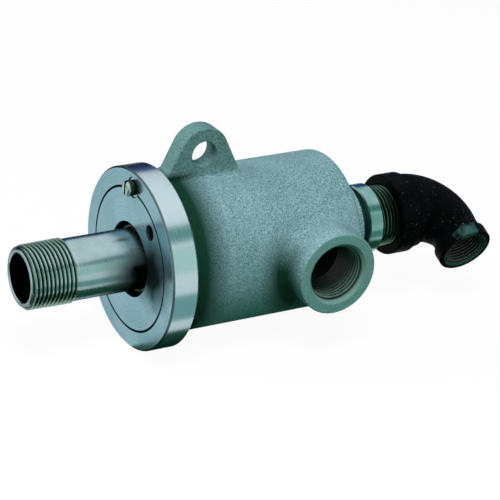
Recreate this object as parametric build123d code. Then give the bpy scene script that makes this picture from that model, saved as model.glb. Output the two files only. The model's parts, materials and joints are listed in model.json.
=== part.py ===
from build123d import *
import math
import os

# Rotary union, in millimetres. +X runs along the rotor from its pipe thread to the rear elbow,
# the side port faces -Y and the lifting lug points up, +Z. Stations are distances along X from
# the front face of the housing flange.

# Rotor: hollow journal with a pipe thread in front and the seal seat carried in its head
thread_reach = 60.7          # flange face to the threaded end
thread_gauge = 10.16         # hand-tight engagement, which sets the row origin
rotor_thread_radius = 16.7
rotor_thread_length = 25.0
rotor_end_chamfer = 1.8
thread_runout = 1.6
shaft_radius = 15.9
rotor_bore_radius = 12.2
bore_end_chamfer = 0.8
rotor_head_length = 7.0

# Rolling bearings, a pair of single-row ball bearings of one standard size
bearing_bore = 35.0
bearing_outside = 72.0
bearing_width = 17.0
ball_diameter = 11.112
ball_count = 9
race_clearance = 0.25        # ball to race, all round
shoulder_gap = 3.5           # pitch circle to each ring's shoulder
cage_thickness = 4.0
cage_rim = 0.944             # past each pocket
pocket_clearance = 0.2
ring_edge = 0.9
bearing_spread = 6.0         # length of the two spacers between the bearings
spacer_wall = 3.6

# Housing casting
housing_wall = 5.0           # outside the bearings
flange_rim = 10.2            # outside the retainer
flange_thickness = 14.4
flange_edge = 0.9
body_edge = 3.2
neck_fillet = 4.0
chamber_length = 24.5
chamber_wall = 11.0
rear_wall = 10.0
rear_boss_wall = 6.8
rear_boss_length = 12.5
rear_boss_edge = 1.0

# Bearing retainer, screwed into the flange bore
retainer_land = 1.4          # outside the bearings
retainer_thickness = 13.0
retainer_shaft_gap = 3.8
retainer_lip = 3.0
seam_chamfer = 0.35
spanner_hole_radius = 4.0
spanner_hole_inset = 6.9     # hole centre to the retainer's rim
spanner_hole_angle = 49.0    # up from the side port's direction
spanner_hole_depth = 7.0

# Lock screw in a spot face over the retainer's seam
spot_radius = 5.4
spot_depth = 1.5
spot_offset = 2.0            # screw axis outside the seam
screw_shank_radius = 2.5
screw_length = 9.0
screw_head_radius = 4.0
screw_head_height = 3.6
screw_slot_width = 1.3
screw_slot_depth = 1.7
washer_radius = 4.8
washer_thickness = 0.9

# Dust seal and snap ring in front of the bearings
dust_seal_section = 6.3
dust_seal_width = 7.0
dust_seal_wall = 2.0
dust_lip_clearance = 0.3
snap_ring_width = 1.75
snap_ring_height = 2.1
snap_groove_depth = 1.0
snap_ring_gap = 8.0
snap_front_land = 0.8

# Mechanical seal
seat_rim = 4.25              # rotor head outside the seat
seat_bore_step = 0.8
seat_width = 7.0
seat_stand_out = 1.5         # seat face beyond the rotor head
seat_ring_section = 1.8      # square-cut elastomer rings
nose_land = 1.5              # seat rim outside the carbon nose
nose_length = 2.5
nose_edge = 0.4
seal_flange_width = 4.0
seal_tail_wall = 7.0
seal_tail_length = 10.0
seal_tail_edge = 0.6
seal_slide_clearance = 0.1
seal_travel = 1.5            # gap behind the seal flange when the faces touch
tail_ring_section = 1.7
tail_ring_station = 5.6      # behind the seal flange
groove_side_clearance = 0.3
seal_pocket_step = 5.0       # bearing seat to seal pocket
seal_pocket_clearance = 2.0
web_thickness = 11.0
spring_coil_gap = 4.2        # seal tail to the coil's mean radius
spring_wire_width = 2.6      # flat wire, across the coil
spring_wire_height = 1.2
spring_turns = 2.5
spring_pocket_depth = 8.0
spring_pocket_clearance = 0.5
pin_radius = 1.5
pin_inset = 0.4              # pin centre inside the seal flange's rim
pin_depth = 5.0
pin_reach = 3.2
pin_slot_clearance = 0.35

# Side port, square to the rotor
port_stand = 14.3            # port face beyond the round body
port_wall = 6.8
port_end_margin = 2.3        # boss to the housing's rear face
port_thread_radius = 15.2
port_thread_depth = 25.0
port_mouth_step = 1.6
port_passage_step = 2.7
port_face_edge = 0.8
port_root_fillet = 6.0

# Lifting lug, a flat plate that stands along the rotor axis
lug_setback = 22.6           # flange to the lug's hole
lug_rise = 12.9              # hole centre above the round body
lug_hole_radius = 7.0
lug_wall = 7.1
lug_foot = 48.3
lug_thickness = 10.5
lug_edge = 1.0
lug_root_fillet = 2.5

# Rear adaptor and reducing elbow
adaptor_thread_radius = 16.2
adaptor_bore_radius = 12.2
collar_step = 2.6            # collar over its threads
collar_gap = 6.1             # boss face to collar
collar_width = 8.8
collar_edge = 0.8
neck_relief = 1.0
adaptor_thread_visible = 10.2
adaptor_engagement = 15.0
adaptor_inner_margin = 1.0   # adaptor short of the chamber
elbow_run = 36.6             # large mouth to the centre of the bend
elbow_leg = 33.2             # centre of the bend to the small mouth
elbow_tilt = 26.0             # small leg below the side port's direction
elbow_bend_radius = 20.0
elbow_large_wall = 3.8
elbow_large_bead = 1.8
elbow_large_bead_width = 11.5
elbow_small_wall = 2.3
elbow_small_bead = 1.7
elbow_small_bead_width = 7.5
elbow_passage_step = 1.1
elbow_small_thread_radius = 11.2
elbow_small_thread_depth = 13.0
elbow_mouth_edge = 1.0
elbow_bead_edge = 0.55       # share of the bead's height
elbow_bead_root = 0.4

# Radii that follow from the sizes above
bearing_bore_radius = bearing_bore / 2
bearing_radius = bearing_outside / 2
ball_radius = ball_diameter / 2
pitch_radius = (bearing_bore_radius + bearing_radius) / 2
race_radius = ball_radius + race_clearance
inner_shoulder_radius = pitch_radius - shoulder_gap
outer_shoulder_radius = pitch_radius + shoulder_gap
retainer_radius = bearing_radius + retainer_land
flange_radius = retainer_radius + flange_rim
body_radius = bearing_radius + housing_wall
chamber_radius = body_radius - chamber_wall
screw_circle = retainer_radius + spot_offset
spanner_hole_circle = retainer_radius - spanner_hole_inset
dust_seal_radius = shaft_radius + dust_seal_section
rotor_head_radius = inner_shoulder_radius
seat_radius = rotor_head_radius - seat_rim
seat_bore_radius = rotor_bore_radius + seat_bore_step
nose_radius = seat_radius - nose_land
seal_pocket_radius = bearing_radius - seal_pocket_step
seal_flange_radius = seal_pocket_radius - seal_pocket_clearance
seal_tail_radius = seat_bore_radius + seal_tail_wall
spring_coil_radius = seal_tail_radius + spring_coil_gap
pin_circle = seal_flange_radius - pin_inset
port_radius = port_thread_radius + port_wall
port_passage_radius = port_thread_radius - port_passage_step
port_reach = body_radius + port_stand
lug_height = body_radius + lug_rise
lug_crown_radius = lug_hole_radius + lug_wall
rear_boss_radius = adaptor_thread_radius + rear_boss_wall
collar_radius = adaptor_thread_radius + collar_step
elbow_large_body = adaptor_thread_radius + elbow_large_wall
elbow_small_body = elbow_small_thread_radius + elbow_small_wall
elbow_passage = elbow_small_thread_radius - elbow_passage_step

# Stations that follow from the sizes above
origin_station = thread_gauge - thread_reach
front_bearing = retainer_thickness
spacer_station = front_bearing + bearing_width
rear_bearing = spacer_station + bearing_spread
head_station = rear_bearing + bearing_width
head_end = head_station + rotor_head_length
seat_face = head_end + seat_stand_out
seal_flange_station = seat_face + nose_length
seal_flange_back = seal_flange_station + seal_flange_width
web_station = seal_flange_back + seal_travel
web_back = web_station + web_thickness
body_length = web_back + chamber_length + rear_wall
boss_end = body_length + rear_boss_length
port_station = body_length - port_end_margin - port_radius
lug_station = flange_thickness + lug_setback
snap_station = front_bearing - snap_ring_width
journal_station = snap_station - snap_front_land
collar_station = boss_end + collar_gap
collar_end = collar_station + collar_width
elbow_mouth = collar_end + adaptor_thread_visible
elbow_centre = elbow_mouth + elbow_run

bottom = (Align.CENTER, Align.CENTER, Align.MIN)


def along(station, y=0.0, z=0.0):
    """Place with its local Z on +X, at a station from the flange face."""
    return Pos(station - origin_station, y, z) * Rot(0, 90, 0)


def disc(start, end, radius, y=0.0, z=0.0):
    return along(start, y, z) * Cylinder(radius, end - start, align=bottom)


def ring(start, end, outer, inner):
    return disc(start, end, outer) - disc(start, end, inner)


def taper(start, end, start_radius, end_radius):
    return along(start) * Cone(start_radius, end_radius, end - start, align=bottom)


def chamfered_disc(start, end, radius, front=0.0, back=0.0):
    body = disc(start + front, end - back, radius)
    if front:
        body += taper(start, start + front, radius - front, radius)
    if back:
        body += taper(end - back, end, radius, radius - back)
    return body


def torus(station, major, minor):
    return along(station) * Torus(major, minor)


def toward_port(reach, radius, length, station=port_station):
    """Cylinder along -Y that ends `reach` from the rotor axis."""
    base = Pos(station - origin_station, -(reach - length), 0) * Rot(90, 0, 0)
    return base * Cylinder(radius, length, align=bottom)


def circle_edges(shape, station, radius, tolerance=0.05):
    """Circular edges round the rotor axis at one station."""
    x = station - origin_station
    found = []
    for edge in shape.edges().filter_by(GeomType.CIRCLE):
        centre = edge.arc_center
        if abs(centre.X - x) < tolerance and abs(edge.radius - radius) < tolerance:
            found.append(edge)
    return found


def make_housing():
    outer = make_barrel()
    outer += disc(body_length - 1, boss_end, rear_boss_radius)
    outer = fillet(circle_edges(outer, body_length, rear_boss_radius), body_edge)
    outer = fillet(circle_edges(outer, boss_end, rear_boss_radius), rear_boss_edge)
    outer += chamfered_disc(0, flange_thickness, flange_radius, flange_edge, flange_edge)
    outer = fillet(circle_edges(outer, flange_thickness, body_radius), neck_fillet)
    return add_lug(outer) - housing_cavity()


def make_barrel():
    """Round body with the side-port boss, blended before the rear end is squared off."""
    spare = 2 * port_root_fillet
    barrel = disc(flange_thickness - 1, body_length + spare, body_radius)
    barrel += toward_port(port_reach, port_radius, port_reach - chamber_radius)
    root = [e for e in barrel.edges() if e.geom_type != GeomType.CIRCLE and e.length > math.pi * port_radius]
    barrel = fillet(root, port_root_fillet)
    rims = barrel.edges().filter_by(GeomType.CIRCLE)
    face_rim = [e for e in rims if abs(e.arc_center.Y + port_reach) < 0.05]
    barrel = fillet(face_rim, port_face_edge)
    barrel -= disc(body_length, body_length + spare + 1, 2 * body_radius)
    rear_x = body_length - origin_station
    rear_rim = [e for e in barrel.edges() if on_plane(e, rear_x)]
    return fillet(rear_rim, body_edge)


def on_plane(edge, x):
    box = edge.bounding_box()
    return abs(box.min.X - x) < 0.01 and abs(box.max.X - x) < 0.01


def add_lug(body):
    x = lug_station - origin_station
    crown = Pos(x, lug_height) * Circle(lug_crown_radius)
    foot_height = body_radius - lug_thickness / 2
    foot = Pos(x, foot_height) * Rectangle(lug_foot, 2 * lug_edge)
    outline = make_hull((crown + foot).edges())
    plate = extrude(Plane.XZ * outline, lug_thickness / 2, both=True)
    rims = [e for e in plate.edges() if abs(abs(e.center().Y) - lug_thickness / 2) < 0.01]
    plate = fillet([e for e in rims if e.center().Z > foot_height + 2 * lug_edge], lug_edge)
    before = body.edges()
    joined = body + plate
    root = [e for e in (joined.edges() - before) if is_lug_root(e)]
    return fillet(root, lug_root_fillet)


def is_lug_root(edge):
    """Edges where the plate meets the round body."""
    middle = edge @ 0.5
    on_body = abs(math.hypot(middle.Y, middle.Z) - body_radius) < 0.05
    return on_body and abs(middle.Y) > lug_thickness / 2 - 0.05 and edge.length > lug_foot / 4


def housing_cavity():
    cut = disc(-1, retainer_thickness, retainer_radius)
    cut += taper(-seam_chamfer, seam_chamfer, retainer_radius + 2 * seam_chamfer, retainer_radius)
    cut += disc(0, head_station, bearing_radius)
    cut += disc(head_station - 1, web_station, seal_pocket_radius)
    cut += disc(0, web_back + 1, seal_tail_radius + seal_slide_clearance)
    cut += disc(web_back, body_length - rear_wall, chamber_radius)
    cut += disc(web_back, boss_end + 1, adaptor_thread_radius)
    cut += spring_pocket()
    for side in (-1, 1):
        cut += disc(web_station - 1, web_station + pin_depth, pin_radius, 0, side * pin_circle)
    cut += toward_port(port_reach + 1, port_thread_radius, port_thread_depth + 1)
    cut += toward_port(port_reach, port_passage_radius, port_reach - chamber_radius + 5)
    cut += port_mouth()
    cut += screw_cut()
    cut += lug_hole()
    return cut


def spring_pocket():
    half = spring_wire_width / 2 + spring_pocket_clearance
    end = web_station + spring_pocket_depth
    return ring(web_station - 1, end, spring_coil_radius + half, spring_coil_radius - half)


def port_mouth():
    step = port_mouth_step
    base = Pos(port_station - origin_station, step - port_reach, 0) * Rot(90, 0, 0)
    return base * Cone(port_thread_radius, port_thread_radius + step, step, align=bottom)


def screw_cut():
    spot = disc(-1, spot_depth, spot_radius, 0, screw_circle)
    return spot + disc(0, spot_depth + screw_length, screw_shank_radius, 0, screw_circle)


def lug_hole():
    place = Pos(lug_station - origin_station, 0, lug_height) * Rot(90, 0, 0)
    return place * Cylinder(lug_hole_radius, 2 * lug_thickness)


def make_retainer():
    body = chamfered_disc(0, retainer_thickness, retainer_radius, seam_chamfer, 0)
    body -= disc(-1, retainer_thickness, shaft_radius + retainer_shaft_gap)
    body -= disc(retainer_lip, retainer_lip + dust_seal_width, dust_seal_radius)
    body -= disc(retainer_lip + dust_seal_width, retainer_thickness, outer_shoulder_radius + ring_edge)
    for angle in (spanner_hole_angle, spanner_hole_angle + 180):
        y = -spanner_hole_circle * math.cos(math.radians(angle))
        z = spanner_hole_circle * math.sin(math.radians(angle))
        body -= disc(-1, spanner_hole_depth, spanner_hole_radius, y, z)
    return body - screw_cut()


def make_lock_screw():
    seat = spot_depth - washer_thickness
    top = seat - screw_head_height
    screw = disc(seat, spot_depth + screw_length, screw_shank_radius, 0, screw_circle)
    head = disc(top, seat, screw_head_radius, 0, screw_circle)
    head = fillet(head.edges().group_by(Axis.X)[0], screw_head_height / 4)
    slot_x = (top + screw_slot_depth / 2) - origin_station
    slot = Pos(slot_x, 0, screw_circle) * Box(screw_slot_depth, screw_slot_width, 3 * screw_head_radius)
    return screw + (head - slot)


def make_lock_washer():
    start = spot_depth - washer_thickness
    washer = disc(start, spot_depth, washer_radius, 0, screw_circle)
    return washer - disc(start, spot_depth, screw_shank_radius, 0, screw_circle)


def make_dust_seal():
    start = retainer_lip
    end = start + dust_seal_width
    inner = shaft_radius + dust_lip_clearance
    shell = ring(start, end, dust_seal_radius, dust_seal_radius - dust_seal_wall)
    shell += ring(end - dust_seal_wall, end, dust_seal_radius, inner + dust_seal_wall)
    lip = taper(start, end, inner, inner + dust_seal_wall)
    outer_lip = taper(start, end, inner + dust_seal_wall / 2, inner + 2 * dust_seal_wall)
    return shell + (outer_lip - lip)


def make_outer_ring(start):
    body = chamfered_disc(start, start + bearing_width, bearing_radius, ring_edge, ring_edge)
    body -= disc(start, start + bearing_width, outer_shoulder_radius)
    return body - torus(start + bearing_width / 2, pitch_radius, race_radius)


def make_inner_ring(start):
    body = chamfered_disc(start, start + bearing_width, inner_shoulder_radius, ring_edge, ring_edge)
    body -= disc(start, start + bearing_width, bearing_bore_radius)
    return body - torus(start + bearing_width / 2, pitch_radius, race_radius)


def ball_places(start):
    """One place per ball, with local X pointing away from the rotor axis."""
    for i in range(ball_count):
        yield along(start + bearing_width / 2) * Rot(0, 0, 360 * i / ball_count) * Pos(pitch_radius, 0, 0)


def make_cage(start):
    middle = start + bearing_width / 2
    half = cage_thickness / 2
    reach = ball_radius + pocket_clearance + cage_rim
    body = ring(middle - reach, middle + reach, pitch_radius + half, pitch_radius - half)
    for place in ball_places(start):
        body -= place * Rot(0, 90, 0) * Cylinder(ball_radius + pocket_clearance, 2 * ball_diameter)
    return body


def make_balls(start):
    return Compound(children=[place * Sphere(ball_radius) for place in ball_places(start)])


def make_rotor():
    front = -thread_reach
    thread_end = front + rotor_thread_length
    body = chamfered_disc(front, thread_end, rotor_thread_radius, rotor_end_chamfer, 0)
    body += taper(thread_end, thread_end + thread_runout, rotor_thread_radius, shaft_radius)
    body += disc(thread_end, journal_station, shaft_radius)
    body += chamfered_disc(journal_station, head_station, bearing_bore_radius, snap_front_land / 2, 0)
    body += chamfered_disc(head_station, head_end, rotor_head_radius, 0, ring_edge)
    body -= ring(snap_station, front_bearing, rotor_head_radius, bearing_bore_radius - snap_groove_depth)
    body -= disc(front, head_end, rotor_bore_radius)
    body -= taper(front, front + bore_end_chamfer, rotor_bore_radius + bore_end_chamfer, rotor_bore_radius)
    return body - disc(seat_face - seat_width, head_end, seat_radius)


def make_snap_ring():
    inner = bearing_bore_radius - snap_groove_depth
    body = ring(snap_station, front_bearing, bearing_bore_radius + snap_ring_height, inner)
    gap = Pos(front_bearing - origin_station, 0, -bearing_bore_radius)
    return body - gap * Box(3 * snap_ring_width, snap_ring_gap, bearing_bore_radius)


def make_seat():
    body = chamfered_disc(seat_face - seat_width, seat_face, seat_radius, 0, ring_edge / 2)
    body -= disc(seat_face - seat_width, seat_face, seat_bore_radius)
    return body - seat_groove()


def seat_groove():
    middle = head_end - rotor_head_length / 2
    half = seat_ring_section / 2 + groove_side_clearance
    return ring(middle - half, middle + half, seat_radius + 1, seat_radius - seat_ring_section)


def make_seat_seal():
    middle = head_end - rotor_head_length / 2
    half = seat_ring_section / 2
    return ring(middle - half, middle + half, seat_radius, seat_radius - seat_ring_section)


def make_floating_seal():
    tail_end = seal_flange_back + seal_tail_length
    body = chamfered_disc(seat_face, seal_flange_station, nose_radius, nose_edge, 0)
    body += chamfered_disc(seal_flange_station, seal_flange_back, seal_flange_radius, nose_edge, nose_edge)
    body += chamfered_disc(seal_flange_back, tail_end, seal_tail_radius, 0, seal_tail_edge)
    body -= disc(seat_face, tail_end, seat_bore_radius)
    body -= tail_groove()
    slot_radius = pin_radius + pin_slot_clearance
    for side in (-1, 1):
        z = side * pin_circle
        body -= disc(seal_flange_station, seal_flange_back, slot_radius, 0, z)
    return body


def tail_groove():
    middle = seal_flange_back + tail_ring_station
    half = tail_ring_section / 2 + groove_side_clearance
    return ring(middle - half, middle + half, seal_tail_radius + 1, seal_tail_radius - tail_ring_section)


def make_tail_seal():
    middle = seal_flange_back + tail_ring_station
    half = tail_ring_section / 2
    return ring(middle - half, middle + half, seal_tail_radius, seal_tail_radius - tail_ring_section)


def make_spring():
    free = seal_travel + spring_pocket_depth - spring_wire_height
    path = Helix(pitch=free / spring_turns, height=free, radius=spring_coil_radius)
    across = Plane(origin=path @ 0, x_dir=(1, 0, 0), z_dir=path % 0)
    coil = sweep(across * Rectangle(spring_wire_width, spring_wire_height), path, is_frenet=True)
    return along(seal_flange_back + spring_wire_height / 2) * coil


def make_pins():
    start = web_station - seal_travel - pin_reach
    pins = [disc(start, web_station + pin_depth, pin_radius, 0, side * pin_circle) for side in (-1, 1)]
    return Compound(children=pins)


def make_adaptor():
    start = body_length - rear_wall + adaptor_inner_margin
    end = elbow_mouth + adaptor_engagement
    body = disc(start, boss_end, adaptor_thread_radius)
    body += disc(boss_end, collar_station, adaptor_thread_radius - neck_relief)
    body += chamfered_disc(collar_station, collar_end, collar_radius, collar_edge, collar_edge)
    body += chamfered_disc(collar_end, end, adaptor_thread_radius, 0, rotor_end_chamfer)
    return body - disc(start, end, adaptor_bore_radius)


def make_elbow():
    large = beaded_leg(elbow_large_body, elbow_large_bead, elbow_large_bead_width, elbow_run)
    small = beaded_leg(elbow_small_body, elbow_small_bead, elbow_small_bead_width, elbow_leg)
    outer = Rot(0, -90, 0) * large + Rot(90, 0, 0) * small + bend(elbow_large_body, elbow_small_body)
    inner = round_bend(elbow_passage)
    inner += Rot(0, -90, 0) * leg_bore(elbow_passage, adaptor_thread_radius, adaptor_engagement, elbow_run)
    small_bore = leg_bore(elbow_passage, elbow_small_thread_radius, elbow_small_thread_depth, elbow_leg)
    inner += Rot(90, 0, 0) * small_bore
    place = Pos(elbow_centre - origin_station, 0, 0) * Rot(elbow_tilt, 0, 0)
    return place * (outer - inner)


def beaded_leg(body, bead, bead_width, reach):
    """One straight leg along local Z, with its rounded bead at the mouth."""
    leg = Pos(0, 0, elbow_bend_radius) * Cylinder(body, reach - elbow_bend_radius, align=bottom)
    rim = Pos(0, 0, reach - bead_width) * Cylinder(body + bead, bead_width, align=bottom)
    leg += fillet(rim.edges().filter_by(GeomType.CIRCLE), elbow_bead_edge * bead)
    root = [e for e in leg.edges().filter_by(GeomType.CIRCLE) if is_bead_root(e, body, reach - bead_width)]
    return fillet(root, elbow_bead_root * bead)


def is_bead_root(edge, body, height):
    return abs(edge.radius - body) < 0.01 and abs(edge.arc_center.Z - height) < 0.01


def leg_bore(passage, thread, depth, reach):
    bore = Pos(0, 0, elbow_bend_radius) * Cylinder(passage, reach - elbow_bend_radius, align=bottom)
    bore += Pos(0, 0, reach - depth) * Cylinder(thread, depth, align=bottom)
    mouth = Cone(thread, thread + elbow_mouth_edge, elbow_mouth_edge, align=bottom)
    return bore + Pos(0, 0, reach - elbow_mouth_edge) * mouth


def round_bend(radius):
    """Quarter bend of one radius, for the passage."""
    r = elbow_bend_radius
    quarter = Pos(-r, -r, 0) * Torus(r, radius)
    corner = (Align.MIN, Align.MIN, Align.CENTER)
    return quarter & (Pos(-r, -r, 0) * Box(2 * r, 2 * r, 2 * r, align=corner))


def bend(large, small):
    """Quarter bend that tapers from the large leg to the small one."""
    r = elbow_bend_radius
    path = CenterArc((-r, -r, 0), r, 0, 90)
    start = Plane(origin=(-r, 0, 0), z_dir=(1, 0, 0)) * Circle(large)
    end = Plane(origin=(0, -r, 0), z_dir=(0, -1, 0)) * Circle(small)
    return sweep([end, start], path=path, multisection=True)


parts = {
    "housing": make_housing(),
    "bearing_retainer": make_retainer(),
    "lock_screw": make_lock_screw(),
    "lock_washer": make_lock_washer(),
    "dust_seal": make_dust_seal(),
    "front_outer_ring": make_outer_ring(front_bearing),
    "rear_outer_ring": make_outer_ring(rear_bearing),
    "outer_spacer": ring(spacer_station, rear_bearing, bearing_radius, bearing_radius - spacer_wall),
    "seal_spring": make_spring(),
    "seal_pins": make_pins(),
    "rear_adaptor": make_adaptor(),
    "elbow": make_elbow(),
    "rotor": make_rotor(),
    "front_inner_ring": make_inner_ring(front_bearing),
    "rear_inner_ring": make_inner_ring(rear_bearing),
    "inner_spacer": ring(spacer_station, rear_bearing, bearing_bore_radius + spacer_wall, bearing_bore_radius),
    "rotor_snap_ring": make_snap_ring(),
    "seal_seat": make_seat(),
    "seat_seal_ring": make_seat_seal(),
    "front_cage": make_cage(front_bearing),
    "front_balls": make_balls(front_bearing),
    "rear_cage": make_cage(rear_bearing),
    "rear_balls": make_balls(rear_bearing),
    "floating_seal": make_floating_seal(),
    "tail_seal_ring": make_tail_seal(),
}

os.makedirs("parts", exist_ok=True)
for name, shape in parts.items():
    export_step(shape, "parts/" + name + ".step")
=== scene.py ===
import bmesh
import bpy
import json
import math
from mathutils import Matrix, Vector


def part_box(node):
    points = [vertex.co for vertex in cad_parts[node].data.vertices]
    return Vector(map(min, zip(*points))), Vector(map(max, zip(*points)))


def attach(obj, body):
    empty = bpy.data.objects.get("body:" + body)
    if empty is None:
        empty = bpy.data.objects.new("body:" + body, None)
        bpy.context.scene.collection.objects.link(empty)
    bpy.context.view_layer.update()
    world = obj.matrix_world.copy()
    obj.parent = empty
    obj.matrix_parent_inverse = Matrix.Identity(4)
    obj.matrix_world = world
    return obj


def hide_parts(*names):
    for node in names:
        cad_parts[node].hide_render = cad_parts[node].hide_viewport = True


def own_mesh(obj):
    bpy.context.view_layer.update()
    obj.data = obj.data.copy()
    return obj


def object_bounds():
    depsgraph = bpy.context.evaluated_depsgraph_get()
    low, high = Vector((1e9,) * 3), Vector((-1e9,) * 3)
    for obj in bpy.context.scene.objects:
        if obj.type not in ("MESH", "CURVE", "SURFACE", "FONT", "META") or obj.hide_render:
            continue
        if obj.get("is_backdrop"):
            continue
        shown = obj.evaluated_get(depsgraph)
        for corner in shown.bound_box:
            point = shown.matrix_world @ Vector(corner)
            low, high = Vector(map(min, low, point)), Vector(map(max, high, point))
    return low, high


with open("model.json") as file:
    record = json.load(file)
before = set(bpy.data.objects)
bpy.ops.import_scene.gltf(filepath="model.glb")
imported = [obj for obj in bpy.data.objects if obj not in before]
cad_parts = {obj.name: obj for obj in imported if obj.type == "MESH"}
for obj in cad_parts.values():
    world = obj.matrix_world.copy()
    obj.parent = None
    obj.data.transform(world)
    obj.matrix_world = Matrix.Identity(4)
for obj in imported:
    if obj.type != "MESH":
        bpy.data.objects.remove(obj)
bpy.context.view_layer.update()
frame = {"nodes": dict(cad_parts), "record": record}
mm = 0.001
mounts = {m["name"]: m for m in frame["record"]["mounts"]}
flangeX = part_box("housing")[0].x          # front face of the flange
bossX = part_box("housing")[1].x            # rear face of the boss that takes the adaptor
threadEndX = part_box("rotor")[0].x         # nose of the rotor
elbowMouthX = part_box("elbow")[0].x        # end of the elbow that takes the adaptor
portFace = Vector((mounts["side_port"]["pos_m"][0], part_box("housing")[0].y, 0))
elbowAxis = Vector(mounts["elbow_port"]["axis"])
elbowCentre = Vector((mounts["elbow_port"]["pos_m"][0], 0, 0))
elbowLeg = 33.2 * mm                      # from the elbow's corner to its outlet face
print("frame loaded")

# Node helpers

wideNoise = (0.3, 0.7)                    # noise mostly lies between these
narrowNoise = (0.35, 0.65)
markRange = (0.7, 1.3)                    # two sets of tool marks added together


def newMaterial(name):
    mat = bpy.data.materials.new(name)
    mat.use_nodes = True
    return mat, mat.node_tree, mat.node_tree.nodes["Principled BSDF"]


def feed(tree, socket, value):
    if hasattr(value, "is_linked"):
        tree.links.new(value, socket)
    else:
        socket.default_value = value


def feedAll(tree, made, amounts):
    for name, amount in amounts.items():
        feed(tree, made.inputs[name], amount)


def maths(tree, operation, a, b=None):
    made = tree.nodes.new("ShaderNodeMath")
    made.operation = operation
    feed(tree, made.inputs[0], a)
    if b is not None:
        feed(tree, made.inputs[1], b)
    return made.outputs[0]


def product(tree, first, *others):
    for factor in others:
        first = maths(tree, "MULTIPLY", first, factor)
    return first


def largest(tree, first, *others):
    for value in others:
        first = maths(tree, "MAXIMUM", first, value)
    return first


def under(tree, value, most):
    return maths(tree, "LESS_THAN", value, most)


def weigh(tree, a, shareA, b, shareB):
    return maths(tree, "ADD", product(tree, a, shareA), product(tree, b, shareB))


def vectorMaths(tree, operation, a, b=None, out="Vector"):
    made = tree.nodes.new("ShaderNodeVectorMath")
    made.operation = operation
    feed(tree, made.inputs[0], a)
    if b is not None:
        feed(tree, made.inputs[1], b)
    return made.outputs[out]


def mix(tree, factor, a, b, kind="RGBA"):
    made = tree.nodes.new("ShaderNodeMix")
    made.data_type = kind
    first, second, result = (6, 7, 2) if kind == "RGBA" else (2, 3, 0)
    feed(tree, made.inputs[0], factor)
    feed(tree, made.inputs[first], a)
    feed(tree, made.inputs[second], b)
    return made.outputs[result]


def ramp(tree, value, fromLow, fromHigh, low=0.0, high=1.0):
    made = tree.nodes.new("ShaderNodeMapRange")
    amounts = {"Value": value, "From Min": fromLow, "From Max": fromHigh, "To Min": low, "To Max": high}
    feedAll(tree, made, amounts)
    return made.outputs["Result"]


def band(tree, value, centre, half, soft):
    away = maths(tree, "ABSOLUTE", maths(tree, "SUBTRACT", value, centre))
    return ramp(tree, away, half + soft, half)


def grain(tree, coord, scale, detail=2.0, roughness=0.5):
    made = tree.nodes.new("ShaderNodeTexNoise")
    feedAll(tree, made, {"Vector": coord, "Scale": scale, "Detail": detail, "Roughness": roughness})
    return made.outputs["Fac"]


def toolMarks(tree, value, perMetre, detail=2.0):
    made = tree.nodes.new("ShaderNodeTexNoise")
    made.noise_dimensions = "1D"
    feedAll(tree, made, {"W": product(tree, value, perMetre), "Scale": 1.0, "Detail": detail})
    return made.outputs["Fac"]


def wander(tree, noise, reach):
    # moves the edge of a painted patch in and out
    return ramp(tree, noise, *wideNoise, -reach, reach)


def bump(tree, shader, height, strength, distance):
    made = tree.nodes.new("ShaderNodeBump")
    feedAll(tree, made, {"Height": height, "Strength": strength, "Distance": distance})
    tree.links.new(made.outputs["Normal"], shader.inputs["Normal"])


def objectPlace(tree):
    # a point's place, and how far it is from the rotor axis
    coord = tree.nodes.new("ShaderNodeTexCoord").outputs["Object"]
    split = tree.nodes.new("ShaderNodeSeparateXYZ")
    tree.links.new(coord, split.inputs[0])
    x, y, z = split.outputs
    squares = maths(tree, "ADD", product(tree, y, y), product(tree, z, z))
    return coord, x, y, z, maths(tree, "SQRT", squares)


def axisDistance(tree, coord, point, axis):
    # distance along an axis, and out from it
    offset = vectorMaths(tree, "SUBTRACT", coord, point)
    along = vectorMaths(tree, "DOT_PRODUCT", offset, axis, "Value")
    away = vectorMaths(tree, "LENGTH", vectorMaths(tree, "CROSS_PRODUCT", offset, axis), out="Value")
    return along, away


def turnedSheen(tree, shader, amount):
    # highlights run across the lathe's marks, which go round the rotor axis
    y, z = objectPlace(tree)[2:4]
    markLine = tree.nodes.new("ShaderNodeCombineXYZ")
    feed(tree, markLine.inputs[1], product(tree, z, -1.0))
    feed(tree, markLine.inputs[2], y)
    normal = tree.nodes.new("ShaderNodeNewGeometry").outputs["Normal"]
    across = vectorMaths(tree, "NORMALIZE", vectorMaths(tree, "CROSS_PRODUCT", normal, markLine.outputs[0]))
    tree.links.new(across, shader.inputs["Tangent"])
    shader.inputs["Anisotropic"].default_value = amount


# Finishes

# this dark colour is oily dirt in the flange's seam and painted shade elsewhere; the tint keeps grazing
# reflections from turning it grey
oilAndShade = {"colour": (0.002, 0.004, 0.003, 1), "rough": 0.45, "tint": (0.15, 0.15, 0.15, 1)}
# painted shade for the grooves of threads
grooveShade = (0.012, 0.028, 0.018, 1)
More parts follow.
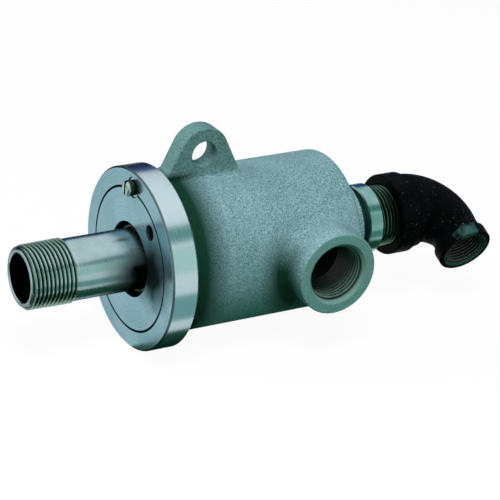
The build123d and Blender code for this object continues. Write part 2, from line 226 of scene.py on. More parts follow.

# neck, root and lug say where the body is painted darker, the neck and root as painted shade, as stations
# from the flange's face, radii and heights
castIron = {
    "light": (0.31, 0.475, 0.53, 1), "dark": (0.08, 0.19, 0.20, 1), "pit": (0.02, 0.07, 0.055, 1),
    "grain": 1250.0, "fineGrain": 2.4, "cloud": 45.0, "tone": (0.34, 0.66), "pits": (0.36, 0.26),
    "rough": (0.45, 0.65), "bump": 0.8 * mm, "bumpShow": 0.6, "gloss": 0.15, "sheen": 0.55,
    # the next colour is the painted shade in the neck and at the port's root
    "soilAndShade": (0.003, 0.032, 0.016, 1),
    "neck": (38.0 * mm, 23.0 * mm), "neckOut": (47.0 * mm, 44.0 * mm), "neckShow": 0.985,
    "rootTurn": (0.85, -0.5), "rootSide": (0.25, 0.85), "rootOut": (38.0 * mm, 27.0 * mm),
    "rootDepth": (3.0 * mm, 12.0 * mm), "rootShow": 0.97,
    "lug": (41.5 * mm, 47.0 * mm), "lugTone": (0.03, 0.11, 0.07, 1), "lugShow": 0.45,
    # painted shade inside the port's bore, lighter at its mouth
    "bore": 17.0 * mm, "boreDepth": 40.0 * mm, "boreTone": (0.01, 0.025, 0.018, 1),
    "mouth": (3.2 * mm, 1.2 * mm), "mouthTone": (0.17, 0.30, 0.27, 1),
    "faced": 21.6 * mm, "facedDepth": 0.3 * mm, "facedTone": (0.13, 0.34, 0.27, 1), "facedShow": 0.5,
}
flangeSteel = {
    "light": (0.49, 0.72, 0.83, 1), "dark": (0.28, 0.50, 0.56, 1), "tone": (0.55, 0.95),
    "rimLight": (0.62, 0.74, 0.79, 1), "rimDark": (0.47, 0.62, 0.68, 1), "rimTone": (0.6, 1.2),
    "rough": (0.19, 0.3), "marks": (1500.0, 5200.0), "marksBump": 0.01, "cloud": 40.0,
    "rim": (46.9 * mm, 47.3 * mm), "front": 0.95 * mm, "back": 14.3 * mm,
    "seam": 37.4 * mm, "seamHalf": 0.42 * mm, "seamSoft": 0.4 * mm,
    # painted shade: the rim's edge and the screw's spot face are painted dark
    "rimEdge": (46.55 * mm, 46.85 * mm), "rimEdgeShow": 0.75,
    "screwZ": 39.4 * mm, "spot": 5.7 * mm, "spotDepth": (0.2 * mm, 0.6 * mm),
    # the next keys place a painted shadow and reflection of the shaft on the face
    "shadePatch": (-23.0 * mm, 3.0 * mm), "shadePatchReach": (25.0 * mm, 7.0 * mm), "shadePatchShow": 0.93,
    "shadePatchNoise": 90.0, "shadePatchWander": 2.5 * mm,
}


def faceSteel(tree, coord, x, radius):
    # colour and roughness of the machined front; its seam is oily and dark, and the rim edge, the screw's
    # spot face and a patch beside the shaft are painted shade
    s = flangeSteel
    marks = maths(tree, "ADD", toolMarks(tree, radius, s["marks"][0]), toolMarks(tree, x, s["marks"][1], 1.0))
    tone = weigh(tree, marks, 0.5, grain(tree, coord, s["cloud"]), 0.5)
    colour = mix(tree, ramp(tree, tone, *s["tone"]), s["dark"], s["light"])
    rim = mix(tree, ramp(tree, marks, *s["rimTone"]), s["rimDark"], s["rimLight"])
    colour = mix(tree, ramp(tree, radius, *s["rim"]), colour, rim)
    front = under(tree, x, flangeX + s["front"])
    seam = band(tree, radius, s["seam"], s["seamHalf"], s["seamSoft"])
    # painted shade along the rim's edge
    edge = ramp(tree, radius, *s["rimEdge"], 0.0, s["rimEdgeShow"])
    # painted shadow inside the screw's spot face
    screw = axisDistance(tree, coord, (0, 0, s["screwZ"]), (1, 0, 0))[1]
    spotDepth = ramp(tree, x, *(flangeX + depth for depth in s["spotDepth"]))
    spot = product(tree, under(tree, screw, s["spot"]), spotDepth)
    shaftShade = axisDistance(tree, coord, (0, *s["shadePatch"]), (1, 0, 0))[1]       # painted shadow and reflection of the shaft on the face
    shaftShade = maths(tree, "ADD", shaftShade, wander(tree, grain(tree, coord, s["shadePatchNoise"]), s["shadePatchWander"]))
    shaftShade = product(tree, ramp(tree, shaftShade, *s["shadePatchReach"], 0.0, s["shadePatchShow"]), front)
    # the oily seam together with the painted shade
    jointAndShade = largest(tree, product(tree, largest(tree, seam, edge), front), largest(tree, spot, shaftShade))
    rough = mix(tree, jointAndShade, ramp(tree, marks, *markRange, *s["rough"]), oilAndShade["rough"], "FLOAT")
    return mix(tree, jointAndShade, colour, oilAndShade["colour"]), rough, marks


def makeCastBody():
    s = castIron
    mat, tree, shader = newMaterial("castBody")
    coord, x, _, z, radius = objectPlace(tree)
    sand = grain(tree, coord, s["grain"], 2.0, 0.6)
    fine = grain(tree, coord, s["fineGrain"] * s["grain"], 1.0)
    tone = weigh(tree, sand, 0.85, grain(tree, coord, s["cloud"]), 0.15)
    cast = mix(tree, ramp(tree, tone, *s["tone"]), s["dark"], s["light"])
    cast = mix(tree, ramp(tree, fine, *s["pits"]), cast, s["pit"])
    # the side port's threaded mouth and its machined face
    depth, out = axisDistance(tree, coord, portFace, (0, 1, 0))
    bored = product(tree, under(tree, out, s["bore"]), under(tree, depth, s["boreDepth"]))
    mouth = product(tree, bored, ramp(tree, depth, *s["mouth"]))
    faced = product(tree, under(tree, out, s["faced"]), under(tree, depth, s["facedDepth"]))
    # painted shade: the neck behind the flange and the root of the port's boss are painted dark
    neck = ramp(tree, x, *(flangeX + station for station in s["neck"]), 0.0, s["neckShow"])
    neck = product(tree, neck, ramp(tree, radius, *s["neckOut"]))
    ahead = maths(tree, "SUBTRACT", portFace.x, x)
    side = maths(tree, "DIVIDE", weigh(tree, ahead, s["rootTurn"][0], z, s["rootTurn"][1]), out)
    root = product(tree, ramp(tree, out, *s["rootOut"]), ramp(tree, side, *s["rootSide"]),
                   ramp(tree, depth, *s["rootDepth"], 0.0, s["rootShow"]))
    # the lug above the body is painted darker
    cast = mix(tree, ramp(tree, z, *s["lug"], 0.0, s["lugShow"]), cast, s["lugTone"])
    # mixes in the painted shade of the neck and the boss's root
    cast = mix(tree, largest(tree, neck, root), cast, s["soilAndShade"])
    cast = mix(tree, product(tree, faced, s["facedShow"]), cast, s["facedTone"])
    steel, steelRough, marks = faceSteel(tree, coord, x, radius)
    machined = under(tree, x, flangeX + flangeSteel["back"])
    colour = mix(tree, machined, cast, steel)
    # painted shade: the port's bore is painted dark, easing to a lighter tone at its mouth
    colour = mix(tree, bored, colour, s["boreTone"])
    colour = mix(tree, mouth, colour, s["mouthTone"])
    tree.links.new(colour, shader.inputs["Base Color"])
    castRough = ramp(tree, sand, *narrowNoise, *s["rough"])
    tree.links.new(mix(tree, machined, castRough, steelRough, "FLOAT"), shader.inputs["Roughness"])
    tree.links.new(machined, shader.inputs["Metallic"])
    shader.inputs["Specular IOR Level"].default_value = s["gloss"]
    shader.inputs["Specular Tint"].default_value = oilAndShade["tint"]
    pits = maths(tree, "ADD", sand, product(tree, fine, 0.6))
    height = mix(tree, machined, pits, product(tree, marks, flangeSteel["marksBump"]), "FLOAT")
    bump(tree, shader, height, s["bumpShow"], s["bump"])
    turnedSheen(tree, shader, s["sheen"])
    return mat


retainer = {"inside": (0.5 * mm, 1.4 * mm), "insideTone": (0.01, 0.018, 0.016, 1), "insideRough": 0.7,
            "bump": 0.04 * mm, "sheen": 0.6}


def makeRetainerSteel():
    s = retainer
    mat, tree, shader = newMaterial("retainerSteel")
    coord, x, _, _, radius = objectPlace(tree)
    colour, rough, marks = faceSteel(tree, coord, x, radius)
    # painted shade: the retainer goes dark past the mouth of its bore
    inside = ramp(tree, x, *(flangeX + depth for depth in s["inside"]))
    tree.links.new(mix(tree, inside, colour, s["insideTone"]), shader.inputs["Base Color"])
    tree.links.new(mix(tree, inside, rough, s["insideRough"], "FLOAT"), shader.inputs["Roughness"])
    shader.inputs["Metallic"].default_value = 1.0
    shader.inputs["Specular Tint"].default_value = oilAndShade["tint"]
    bump(tree, shader, marks, 0.5, s["bump"])
    turnedSheen(tree, shader, s["sheen"])
    return mat


# light and dark are the steel's two tones, groove the radii in mm where a thread goes from its painted groove
# shade to its crest's tone, shaded the stations between which painted shade sets in near the flange, unshaded
# the heights between which it fades out going up, bore the radii in mm where the painted shade inside ends
turned = {
    "rotorSteel": {"light": (0.47, 0.60, 0.65, 1), "dark": (0.31, 0.46, 0.47, 1), "rough": (0.20, 0.28),
                   "bump": 0.03, "sheen": 0.4, "shaded": (flangeX - 24 * mm, flangeX - 4 * mm),
                   "unshaded": (12.0 * mm, 3.0 * mm), "bore": (12.7, 12.5)},
    "rotorThread": {"light": (0.34, 0.52, 0.45, 1), "dark": (0.13, 0.27, 0.19, 1), "rough": (0.2, 0.34),
                    "bump": 0.04, "sheen": 0.2, "groove": (15.5, 16.35)},
    "adaptorSteel": {"light": (0.30, 0.52, 0.52, 1), "dark": (0.14, 0.32, 0.29, 1), "rough": (0.16, 0.3),
                     "bump": 0.04, "sheen": 0.5, "groove": (15.0, 16.0)},
    "adaptorThread": {"light": (0.16, 0.28, 0.20, 1), "dark": (0.07, 0.14, 0.09, 1), "rough": (0.22, 0.36),
                      "bump": 0.04, "sheen": 0.2, "groove": (15.6, 16.3)},
    "screwSteel": {"light": (0.62, 0.72, 0.70, 1), "dark": (0.42, 0.52, 0.50, 1), "rough": (0.14, 0.26),
                   "bump": 0.03, "sheen": 0.0},
    "bearingSteel": {"light": (0.62, 0.66, 0.68, 1), "dark": (0.52, 0.56, 0.58, 1), "rough": (0.08, 0.16),
                     "bump": 0.02, "sheen": 0.3},
    "springSteel": {"light": (0.42, 0.45, 0.47, 1), "dark": (0.30, 0.33, 0.35, 1), "rough": (0.2, 0.32),
                    "bump": 0.03, "sheen": 0.0},
    "seatSteel": {"light": (0.58, 0.60, 0.60, 1), "dark": (0.48, 0.50, 0.50, 1), "rough": (0.06, 0.12),
                  "bump": 0.01, "sheen": 0.2},
    "cageBrass": {"light": (0.75, 0.55, 0.24, 1), "dark": (0.6, 0.42, 0.16, 1), "rough": (0.22, 0.34),
                  "bump": 0.04, "sheen": 0.3},
}
turnedMarks = {"face": 4200.0, "length": 3400.0, "soilAndShade": 130.0, "tone": (0.48, 0.74), "wander": 2 * mm}


def makeTurned(name, s):
    mat, tree, shader = newMaterial(name)
    coord, x, _, z, radius = objectPlace(tree)
    marks = maths(tree, "ADD", toolMarks(tree, radius, turnedMarks["face"]),
                  toolMarks(tree, x, turnedMarks["length"]))
    soilAndShade = grain(tree, coord, turnedMarks["soilAndShade"], 4.0)
    tone = weigh(tree, marks, 0.4, soilAndShade, 0.4)
    colour = mix(tree, ramp(tree, tone, *turnedMarks["tone"]), s["dark"], s["light"])
    roughness = ramp(tree, marks, *markRange, *s["rough"])
    if "groove" in s:
        # painted shade: the thread's grooves are painted dark
        colour = mix(tree, ramp(tree, radius, *(r * mm for r in s["groove"])), grooveShade, colour)
    if "shaded" in s:
        # painted shade: the rotor darkens near the flange on its lower side and inside its bore
        near = ramp(tree, maths(tree, "ADD", x, wander(tree, soilAndShade, turnedMarks["wander"])), *s["shaded"])
        paintedShade = product(tree, near, ramp(tree, z, *s["unshaded"]))
        paintedShade = largest(tree, paintedShade, ramp(tree, radius, *(r * mm for r in s["bore"])))
        colour = mix(tree, paintedShade, colour, oilAndShade["colour"])
        roughness = mix(tree, paintedShade, roughness, oilAndShade["rough"], "FLOAT")
        shader.inputs["Specular Tint"].default_value = oilAndShade["tint"]
    tree.links.new(colour, shader.inputs["Base Color"])
    tree.links.new(roughness, shader.inputs["Roughness"])
    shader.inputs["Metallic"].default_value = 1.0
    bump(tree, shader, marks, 0.5, s["bump"] * mm)
    turnedSheen(tree, shader, s["sheen"])
    return mat


blackIron = {
    "light": (0.0018, 0.0028, 0.0034, 1), "dark": (0.0004, 0.0005, 0.0005, 1), "fleck": (0.16, 0.2, 0.19, 1),
    "grain": 950.0, "cloud": 80.0, "flecks": (0.69, 0.76),
    "rough": (0.4, 0.55), "gloss": 0.02, "bump": 0.5 * mm,
    # the next keys place a painted highlight on the bead's top
    "litPatch": (0.237, -0.0335, -0.002), "litPatchReach": (7.0 * mm, 2.0 * mm), "litPatchShow": 0.75,
    "litPatchNoise": 260.0, "litPatchWander": 2.5 * mm, "litPatchTone": (0.05, 0.14, 0.125, 1),
    "lip": 11.9 * mm, "lipHalf": 0.7 * mm, "lipSoft": 0.5 * mm, "lipBack": (1.6 * mm, 0.9 * mm),
    "lipTone": (0.045, 0.085, 0.072, 1),
}


def makeBlackIron():
    s = blackIron
    mat, tree, shader = newMaterial("blackIron")
    coord = objectPlace(tree)[0]
    sand = grain(tree, coord, s["grain"], 2.0, 0.6)
    cloud = grain(tree, coord, s["cloud"], 3.0)
    colour = mix(tree, ramp(tree, cloud, *narrowNoise), s["dark"], s["light"])
    # painted glints: bright flecks in the colour stand in for glints
    colour = mix(tree, ramp(tree, sand, *s["flecks"]), colour, s["fleck"])
    litPatch = vectorMaths(tree, "DISTANCE", coord, s["litPatch"], "Value")       # painted highlight on the bead's top
    litPatch = maths(tree, "ADD", litPatch, wander(tree, grain(tree, coord, s["litPatchNoise"]), s["litPatchWander"]))
    colour = mix(tree, ramp(tree, litPatch, *s["litPatchReach"], 0.0, s["litPatchShow"]), colour, s["litPatchTone"])
    along, away = axisDistance(tree, coord, elbowCentre, elbowAxis)
    lip = product(tree, band(tree, away, s["lip"], s["lipHalf"], s["lipSoft"]),
                  ramp(tree, along, *(elbowLeg - back for back in s["lipBack"])))
    colour = mix(tree, lip, colour, s["lipTone"])
    tree.links.new(colour, shader.inputs["Base Color"])
    tree.links.new(ramp(tree, sand, 0.35, 0.7, *s["rough"]), shader.inputs["Roughness"])
    shader.inputs["Specular IOR Level"].default_value = s["gloss"]
    bump(tree, shader, sand, 0.7, s["bump"])
    return mat


# sizes in mm: the seat and the crown are stations from the flange's face
lockScrew = {
    "head": 4.1, "seat": 0.6, "crown": -4.6, "dome": ((1.3, 0.0), (0.5, 0.5), (0.12, 1.4)), "shank": 2.5,
    "slotWidth": 1.4, "slotDepth": 2.0, "slotSoft": 0.12, "side": (1.6, 1.1),
    "soilAndShade": 500.0, "rough": (0.14, 0.3),
    # the side and slot tones are painted shade
    "light": (0.50, 0.63, 0.60, 1), "dark": (0.24, 0.36, 0.33, 1), "sideTone": (0.02, 0.05, 0.04, 1),
    "slotTone": (0.006, 0.012, 0.01, 1), "bump": 0.1 * mm,
}


def makeScrewHead():
    s = lockScrew
    mat, tree, shader = newMaterial("lockScrewSteel")
    coord, x, y = objectPlace(tree)[:3]
    soilAndShade = grain(tree, coord, s["soilAndShade"], 3.0)
    slot = band(tree, y, 0.0, s["slotWidth"] / 2 * mm, s["slotSoft"] * mm)
    colour = mix(tree, ramp(tree, soilAndShade, *narrowNoise), s["dark"], s["light"])
    # painted shade: the head's side darkens towards the flange, and its slot is painted dark
    crown = ramp(tree, x, *(flangeX + (s["crown"] + back) * mm for back in s["side"]))
    colour = mix(tree, crown, s["sideTone"], colour)
    tree.links.new(mix(tree, slot, colour, s["slotTone"]), shader.inputs["Base Color"])
    tree.links.new(ramp(tree, soilAndShade, *wideNoise, *s["rough"]), shader.inputs["Roughness"])
    shader.inputs["Metallic"].default_value = 1.0
    bump(tree, shader, soilAndShade, 0.3, s["bump"])
    return mat


# threads in bores, sizes in mm: unshaded and deep are the radii where a crest and a groove have their full
# tones, lit the depths between which the painted shade inside gives way to painted light at the mouth
portBore = {
    "name": "portPipeThread", "finish": "portThread", "slot": "cast_body", "mouth": portFace,
    "axis": Vector((0, -1, 0)), "pitch": 2.209, "wall": 15.25, "crest": 14.1, "from": 3.0, "to": 24.5,
    "light": (0.11, 0.21, 0.165, 1), "dark": (0.002, 0.005, 0.0035, 1), "rough": (0.26, 0.42),
    "unshaded": 14.2, "deep": 14.7, "lit": (15.0, 4.0),
}
elbowBore = {
    "name": "elbowPipeThread", "finish": "elbowThread", "slot": "black_iron",
    "mouth": elbowCentre + elbowAxis * elbowLeg, "axis": elbowAxis,
    "pitch": 1.814, "wall": 11.25, "crest": 10.4, "from": 1.3, "to": 12.6,
    "light": (0.11, 0.15, 0.135, 1), "dark": (0.001, 0.002, 0.002, 1), "rough": (0.22, 0.38),
    "unshaded": 10.45, "deep": 10.75, "lit": (13.2, 3.2),
}
boreGrain = {"grain": 300.0, "patch": (0.3, 0.6), "patchShow": (0.6, 1.0), "gloss": 0.3, "bump": 0.1 * mm}


def makeBoreThread(s):
    mat, tree, shader = newMaterial(s["finish"])
    coord = objectPlace(tree)[0]
    along, away = axisDistance(tree, coord, s["mouth"], s["axis"])
    soilAndShade = grain(tree, coord, boreGrain["grain"], 3.0)
    # painted shade and light: crests turn light in patches near the mouth, and the thread goes dark deeper in
    litPatch = product(tree, ramp(tree, away, s["deep"] * mm, s["unshaded"] * mm),
                   ramp(tree, soilAndShade, *boreGrain["patch"], *boreGrain["patchShow"]),
                   ramp(tree, maths(tree, "ABSOLUTE", along), *(depth * mm for depth in s["lit"])))
    tree.links.new(mix(tree, litPatch, s["dark"], s["light"]), shader.inputs["Base Color"])
    tree.links.new(ramp(tree, soilAndShade, *wideNoise, *s["rough"]), shader.inputs["Roughness"])
    shader.inputs["Specular IOR Level"].default_value = boreGrain["gloss"]
    bump(tree, shader, soilAndShade, 0.4, boreGrain["bump"])
    return mat


matt = {
    "sealRubber": {"light": (0.03, 0.03, 0.03, 1), "dark": (0.012, 0.012, 0.012, 1), "rough": (0.52, 0.68)},
    "sealCarbon": {"light": (0.07, 0.07, 0.075, 1), "dark": (0.035, 0.035, 0.04, 1), "rough": (0.30, 0.46)},
}
mattSpeck = {"grain": 600.0, "bump": 0.15 * mm}


def makeMatt(name, s):
    mat, tree, shader = newMaterial(name)
    speck = grain(tree, objectPlace(tree)[0], mattSpeck["grain"], 3.0)
    colour = mix(tree, ramp(tree, speck, *narrowNoise), s["dark"], s["light"])
    tree.links.new(colour, shader.inputs["Base Color"])
    tree.links.new(ramp(tree, speck, *wideNoise, *s["rough"]), shader.inputs["Roughness"])
    bump(tree, shader, speck, 0.3, mattSpeck["bump"])
    return mat


finishes = {
    "castBody": makeCastBody(), "retainerSteel": makeRetainerSteel(), "blackIron": makeBlackIron(),
    "lockScrewSteel": makeScrewHead(), "portThread": makeBoreThread(portBore),
    "elbowThread": makeBoreThread(elbowBore),
}
finishes.update({name: makeTurned(name, settings) for name, settings in turned.items()})
finishes.update({name: makeMatt(name, settings) for name, settings in matt.items()})
finishNodes = {
    "castBody": ("housing",), "retainerSteel": ("bearing_retainer",),
    "screwSteel": ("lock_screw", "lock_washer"),
    "bearingSteel": ("front_outer_ring", "rear_outer_ring", "outer_spacer", "seal_pins", "front_inner_ring",
                     "rear_inner_ring", "inner_spacer", "front_balls", "rear_balls"),
    "springSteel": ("seal_spring", "rotor_snap_ring"), "seatSteel": ("seal_seat",),
    "cageBrass": ("front_cage", "rear_cage"), "rotorSteel": ("rotor",), "adaptorSteel": ("rear_adaptor",),
    "blackIron": ("elbow",), "sealCarbon": ("floating_seal",),
    "sealRubber": ("dust_seal", "seat_seal_ring", "tail_seal_ring"),
}
for finish, names in finishNodes.items():
    for name in names:
        mesh = frame["nodes"][name].data
        mesh.materials.clear()
        mesh.materials.append(finishes[finish])
print("finishes made")

# Turned pieces and threads

def finishMesh(bm, name, finish, body, sharp=35):
    mesh = bpy.data.meshes.new(name)
    bm.to_mesh(mesh)
    bm.free()
    mesh.shade_smooth()
    mesh.set_sharp_from_angle(angle=math.radians(sharp))
    mesh.materials.append(finishes[finish])
    made = bpy.data.objects.new(name, mesh)
    bpy.context.scene.collection.objects.link(made)
    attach(made, body)
    return made


def outlineVerts(bm, profile, closed=True):
    # stations and radii in mm, joined in order
    verts = [bm.verts.new((x * mm, 0, r * mm)) for x, r in profile]
    follow = verts[1:] + verts[:1] if closed else verts[1:]
    return verts + [bm.edges.new(pair) for pair in zip(verts, follow)]


def spinX(profile, steps=128, closed=True):
    # turned round the rotor axis
    bm = bmesh.new()
    bmesh.ops.spin(bm, geom=outlineVerts(bm, profile, closed), cent=(0, 0, 0), axis=(1, 0, 0),
                   angle=2 * math.pi, steps=steps, use_merge=True)
    bmesh.ops.remove_doubles(bm, verts=bm.verts[:], dist=1e-6)
    bmesh.ops.recalc_face_normals(bm, faces=bm.faces[:])
    return bm


# half widths of a ridge as shares of its pitch, and the steps in a turn
ridgeShape = {"foot": 0.48, "flat": 0.06, "steps": 56}


def threadRidge(start, end, pitch, root, crest):
    # one V-shaped ridge wound along X, all in mm
    foot = pitch * ridgeShape["foot"]
    flat = pitch * ridgeShape["flat"]
    steps = ridgeShape["steps"]
    turns = (end - start) / pitch
    profile = [(start - foot, root), (start - flat, crest), (start + flat, crest), (start + foot, root)]
    bm = bmesh.new()
    bmesh.ops.spin(bm, geom=outlineVerts(bm, profile), cent=(0, 0, 0), axis=(1, 0, 0),
                   dvec=(pitch / steps * mm, 0, 0), angle=2 * math.pi * turns, steps=int(turns * steps))
    bmesh.ops.holes_fill(bm, edges=[e for e in bm.edges if e.is_boundary], sides=4)
    bmesh.ops.recalc_face_normals(bm, faces=bm.faces[:])
    return bm


def trimRadius(bm, limit):
    # draws points in to the largest radius that limit gives at their station, in mm
    for vert in bm.verts:
        radius = math.hypot(vert.co.y, vert.co.z) / mm
        most = limit(vert.co.x / mm)
        if radius > most:
            vert.co.y *= most / radius
            vert.co.z *= most / radius


# sizes in mm: stations of the journal and head run from the flange's face
rotorShape = {
    "thread": 25.0, "pitch": 2.209, "crest": 16.7, "root": 15.1, "chamfer": 1.9, "edge": 0.5, "shaft": 15.9,
    "runOut": 1.2, "runOutDrop": 0.3, "journalStart": 10.9, "journalStep": 0.4, "journal": 17.5,
    "headStart": 53.0, "head": 23.2, "headEnd": 60.0, "corner": 0.8, "bore": 12.2, "mouth": 0.8,
    "counterbore": 19.0, "counterboreDepth": 5.5,
    "ridgeOver": (1.1, 0.2), "ridgeSunk": 0.25, "ridgeBack": 0.3,
    "smallEnd": 0.3, "taper": 1 / 64, "fadeStart": 0.6, "fade": 0.55,
}


def buildRotor():
    s = rotorShape
    start = threadEndX / mm
    end = start + s["thread"]
    nose = s["crest"] - s["chamfer"]
    journal, head, headEnd = (flangeX / mm + s[k] for k in ("journalStart", "headStart", "headEnd"))
    floor = headEnd - s["counterboreDepth"]
    shaft = finishMesh(spinX([
        (start, s["bore"] + s["mouth"]), (start, nose - s["edge"]), (start + s["edge"], nose),
        (start + 2 * s["edge"], s["root"]), (end - s["runOut"], s["root"] + s["runOutDrop"]),
        (end + s["runOut"] / 2, s["shaft"] - s["runOutDrop"]), (end + s["runOut"], s["shaft"]),
        (journal - s["journalStep"], s["shaft"]), (journal, s["journal"]), (head, s["journal"]),
        (head, s["head"]), (headEnd - s["corner"], s["head"]), (headEnd, s["head"] - s["corner"]),
        (headEnd, s["counterbore"]), (floor, s["counterbore"]), (floor, s["bore"]),
        (start + s["mouth"], s["bore"]),
    ]), "rotorShaft", "rotorSteel", "rotor_group")
    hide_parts("rotor")
    before, after = s["ridgeOver"]
    ridge = threadRidge(start - before, end + after, s["pitch"], s["root"] - s["ridgeSunk"], s["crest"])

    def limit(x):
        # chamfered at the nose, tapered along the thread, and fading out into the shaft
        along = x - start
        return min(nose + max(along, 0), s["crest"] - s["smallEnd"] + along * s["taper"],
                   s["shaft"] + max(s["thread"] + s["fadeStart"] - along, 0) * s["fade"])

    trimRadius(ridge, limit)
    for vert in ridge.verts:
        vert.co.x = max(vert.co.x, threadEndX + s["ridgeBack"] * mm)
    finishMesh(ridge, "rotorPipeThread", "rotorThread", "rotor_group")


# sizes in mm: the neck starts at the boss and the collar follows it
adaptorShape = {
    "pitch": 2.209, "crest": 16.75, "root": 15.0, "endDrop": 0.4, "collar": 18.8, "collarEdge": 0.8,
    "collarWidth": 8.8, "neck": 15.2, "neckLength": 6.1, "bore": 12.2, "plug": 15.9, "plugStep": 2,
    "ridgeUnder": 1.0, "ridgeIn": 3, "ridgeSunk": 0.25, "taper": 0.045,
    "rearThread": (0.6, 1.6), "rearThreadSunk": 0.2, "rearThreadHigh": 0.75,
}


def buildAdaptor():
    s = adaptorShape
    low, high = (corner.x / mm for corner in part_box("rear_adaptor"))
    boss = bossX / mm
    collar = boss + s["neckLength"]
    end = collar + s["collarWidth"]
    edge = s["collarEdge"]
    body = finishMesh(spinX([
        (low, s["bore"]), (low, s["plug"]), (boss - s["plugStep"], s["plug"]), (boss, s["neck"]),
        (collar, s["neck"]), (collar, s["collar"] - edge), (collar + edge, s["collar"]),
        (end - edge, s["collar"]), (end, s["collar"] - edge), (end, s["root"]),
        (high, s["root"] - s["endDrop"]), (high, s["bore"]),
    ]), "adaptorBody", "adaptorSteel", "stator")
    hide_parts("rear_adaptor")
    ridge = threadRidge(end - s["ridgeUnder"], elbowMouthX / mm + s["ridgeIn"], s["pitch"],
                        s["root"] - s["ridgeSunk"], s["crest"])
    trimRadius(ridge, lambda x: s["crest"] - max(x - end, 0) * s["taper"])
    finishMesh(ridge, "adaptorPipeThread", "adaptorThread", "stator")
    rear = threadRidge(boss + s["rearThread"][0], collar - s["rearThread"][1], s["pitch"],
                       s["neck"] - s["rearThreadSunk"], s["neck"] + s["rearThreadHigh"])
    finishMesh(rear, "adaptorRearThread", "adaptorThread", "stator")


def buildBoreThread(s):
    # wound along +X from the mouth inwards, then turned into its bore
    bm = threadRidge(s["from"], s["to"], s["pitch"], s["wall"], s["crest"])
    turn = Vector((-1, 0, 0)).rotation_difference(s["axis"]).to_matrix().to_4x4()
    bmesh.ops.transform(bm, matrix=Matrix.Translation(s["mouth"]) @ turn, verts=bm.verts[:])
    finishMesh(bm, s["name"], s["finish"], "stator")


def buildLockScrew():
    s = lockScrew
    low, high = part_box("lock_screw")
    crown, seat = (flangeX / mm + s[k] for k in ("crown", "seat"))
    dome = [(crown + back, s["head"] - drop) for back, drop in s["dome"]]
    bm = spinX([(high.x / mm, 0.0), (high.x / mm, s["shank"]), (seat, s["shank"]), (seat, s["head"]), *dome,
                (crown, 0.0)], 64, closed=False)
    half = s["slotWidth"] / 2 * mm
    for side in (-half, half):
        bmesh.ops.bisect_plane(bm, geom=bm.verts[:] + bm.edges[:] + bm.faces[:], plane_co=(0, side, 0),
                               plane_no=(0, 1, 0))
    domeBack = (dome[0][0] + 0.01) * mm
    inSlot = [v for v in bm.verts if abs(v.co.y) < half + 1e-6 and v.co.x < domeBack]
    strip = [f for f in bm.faces if all(v in inSlot for v in f.verts)]
    sunk = bmesh.ops.extrude_face_region(bm, geom=strip)["geom"]
    bmesh.ops.delete(bm, geom=strip, context="FACES")
    for vert in (g for g in sunk if isinstance(g, bmesh.types.BMVert)):
        vert.co.x = (crown + s["slotDepth"]) * mm
    bmesh.ops.translate(bm, vec=(0, 0, (low.z + high.z) / 2), verts=bm.verts[:])
    bmesh.ops.recalc_face_normals(bm, faces=bm.faces[:])
    screw = finishMesh(bm, "lockScrewSlotted", "lockScrewSteel", "stator", 40)
    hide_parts("lock_screw")


def buildSealSpring():
    # the seal spring's coil as a piece of its own, with doubled points merged
    bm = bmesh.new()
    bm.from_mesh(frame["nodes"]["seal_spring"].data)
    bmesh.ops.remove_doubles(bm, verts=bm.verts[:], dist=1e-6)
    bmesh.ops.recalc_face_normals(bm, faces=bm.faces[:])
    coil = finishMesh(bm, "sealSpringCoil", "springSteel", "stator")
    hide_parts("seal_spring")
    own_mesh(coil)


buildRotor()
buildAdaptor()
buildBoreThread(portBore)
buildBoreThread(elbowBore)
buildLockScrew()
buildSealSpring()
print("turned pieces and threads made")

# Camera

# angles in degrees, distance in metres, lens in mm; the camera looks a little to the right of aimX
view = {"turn": -30.763, "height": 24.689, "roll": 3.974, "distance": 1.15546, "lens": 161.19, "sensor": 36,
        "aimX": 0.098165, "aimRight": 0.017376, "aimUp": -0.002449, "farthest": 20}


def addCamera():
    turn, height, roll = (math.radians(view[k]) for k in ("turn", "height", "roll"))
    back = Vector((math.sin(turn) * math.cos(height), -math.cos(turn) * math.cos(height), math.sin(height)))
    level = Vector((math.cos(turn), math.sin(turn), 0))
    right = math.cos(roll) * level + math.sin(roll) * back.cross(level)
    up = -math.sin(roll) * level + math.cos(roll) * back.cross(level)
    ahead = (-back + view["aimRight"] * right + view["aimUp"] * up).normalized()
    side = (right - ahead * right.dot(ahead)).normalized()
    data = bpy.data.cameras.new("camera")
    data.lens = view["lens"]
    data.sensor_width = view["sensor"]
    data.clip_end = view["farthest"]
    camera = bpy.data.objects.new("camera", data)
    camera.matrix_world = (Matrix.Translation(Vector((view["aimX"], 0, 0)) + back * view["distance"])
                           @ Matrix((side, side.cross(ahead), -ahead)).transposed().to_4x4())
    bpy.context.scene.collection.objects.link(camera)
    bpy.context.scene.camera = camera


# Studio

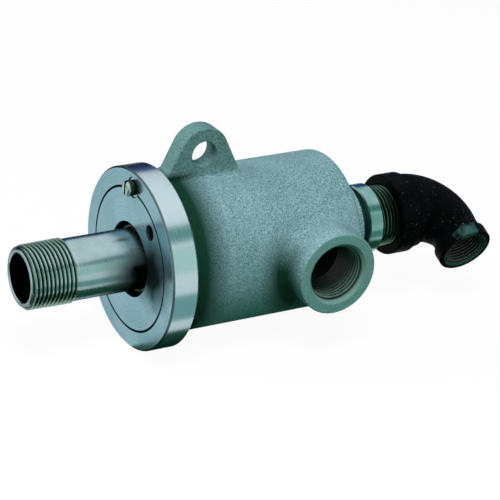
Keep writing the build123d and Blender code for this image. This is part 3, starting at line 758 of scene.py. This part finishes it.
lamps = {
    "overhead": {"place": (-0.2, -0.55, 1.12), "size": (0.5, 0.4), "power": 15.5, "colour": (1.0, 0.99, 1.0)},
    "leftBack": {"place": (-0.95, 0.45, 0.55), "size": (0.4, 0.4), "power": 9.0, "colour": (1.0, 1.0, 0.97)},
    "fill": {"place": (0.35, -1.15, 0.75), "size": (0.6, 0.5), "power": 3.2, "colour": (0.9, 0.98, 1.0)},
}
cards = {
    "backCard": {"place": (0.55, 1.0, 0.25), "size": (3.0, 0.62), "tone": (0.012, 0.07, 0.28, 1)},
    "frontCard": {"place": (0.76, -0.89, 0.98), "size": (2.2, 0.44), "tone": (0.10, 0.30, 0.26, 1)},
    "middleCard": {"place": (0.72, -1.3, 0.36), "size": (2.6, 0.74), "tone": (0.58, 0.78, 0.69, 1)},
    "lowCard": {"place": (0.1, -0.098, -0.0474), "size": (0.9, 0.075), "tone": (0.22, 0.41, 0.39, 1),
                "flat": True},
    "underCard": {"place": (0.1, -0.025, -0.0475), "size": (0.9, 0.04), "tone": (0.02, 0.09, 0.055, 1),
                  "flat": True},
}
studio = {
    "middle": (0.12, 0, 0), "ambient": 0.09, "ambientTone": (0.5, 1.0, 0.8, 1),
    "floorSize": 12, "floorGap": 0.2 * mm, "floorRough": 0.8, "floorTone": (0.05, 0.20, 0.12, 1),
    "floorPale": (0.86, 0.88, 0.87, 1), "floorShow": 0.95, "floorGloss": 0.85,
}


def facing(place, track):
    return (Vector(studio["middle"]) - Vector(place)).to_track_quat(track, "Y").to_euler()


def addLamp(name, s):
    data = bpy.data.lights.new(name, "AREA")
    data.shape = "RECTANGLE"
    data.size, data.size_y = s["size"]
    data.energy = s["power"]
    data.color = s["colour"]
    lamp = bpy.data.objects.new(name, data)
    lamp.location = s["place"]
    lamp.rotation_euler = facing(s["place"], "-Z")
    lamp.visible_glossy = False          # polished metal shows the white background instead
    bpy.context.scene.collection.objects.link(lamp)


def stageMesh(name, size, material):
    bm = bmesh.new()
    bmesh.ops.create_grid(bm, x_segments=1, y_segments=1, size=0.5)
    bmesh.ops.scale(bm, vec=(size[0], size[1], 1), verts=bm.verts[:])
    mesh = bpy.data.meshes.new(name)
    bm.to_mesh(mesh)
    bm.free()
    mesh.materials.append(material)
    made = bpy.data.objects.new(name, mesh)
    bpy.context.scene.collection.objects.link(made)
    made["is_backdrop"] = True
    return made


def addCard(name, s):
    # a plain card that only shows in polished metal
    mat, tree = newMaterial(name)[:2]
    glow = tree.nodes.new("ShaderNodeEmission")
    glow.inputs["Color"].default_value = s["tone"]
    tree.links.new(glow.outputs[0], tree.nodes["Material Output"].inputs["Surface"])
    card = stageMesh(name, s["size"], mat)
    card.location = s["place"]
    if not s.get("flat"):
        card.rotation_euler = facing(s["place"], "Z")
    card.visible_camera = False
    card.visible_diffuse = False
    card.visible_shadow = False


def rayKinds(tree):
    # rays straight from the camera, and those that polished or clear pieces send on
    path = tree.nodes.new("ShaderNodeLightPath")
    return path.outputs["Is Camera Ray"], largest(tree, path.outputs["Is Glossy Ray"],
                                                  path.outputs["Is Transmission Ray"])


def blendShaders(tree, share, first, second, output):
    blend = tree.nodes.new("ShaderNodeMixShader")
    feed(tree, blend.inputs[0], share)
    tree.links.new(first.outputs[0], blend.inputs[1])
    tree.links.new(second.outputs[0], blend.inputs[2])
    tree.links.new(blend.outputs[0], tree.nodes[output].inputs["Surface"])


def addFloor():
    mat, tree, shader = newMaterial("paleFloor")
    shader.inputs["Roughness"].default_value = studio["floorRough"]
    straight, sentOn = rayKinds(tree)
    feed(tree, shader.inputs["Base Color"], mix(tree, straight, studio["floorTone"], studio["floorPale"]))
    share = largest(tree, product(tree, straight, studio["floorShow"]),
                    product(tree, sentOn, studio["floorGloss"]))
    blendShaders(tree, share, shader, tree.nodes.new("ShaderNodeEmission"), "Material Output")
    floor = stageMesh("floor", (studio["floorSize"], studio["floorSize"]), mat)
    floor.location = (studio["middle"][0], 0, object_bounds()[0].z - studio["floorGap"])


def addWorld():
    world = bpy.data.worlds.new("studio")
    bpy.context.scene.world = world
    world.use_nodes = True
    tree = world.node_tree
    back = tree.nodes["Background"]
    back.inputs["Color"].default_value = studio["ambientTone"]
    back.inputs["Strength"].default_value = studio["ambient"]
    white = tree.nodes.new("ShaderNodeBackground")
    white.inputs["Color"].default_value = (1, 1, 1, 1)
    blendShaders(tree, largest(tree, *rayKinds(tree)), back, white, "World Output")


addCamera()
for name, settings in lamps.items():
    addLamp(name, settings)
for name, settings in cards.items():
    addCard(name, settings)
addFloor()
addWorld()
bpy.context.scene.view_settings.view_transform = "Standard"
print("camera and studio made")
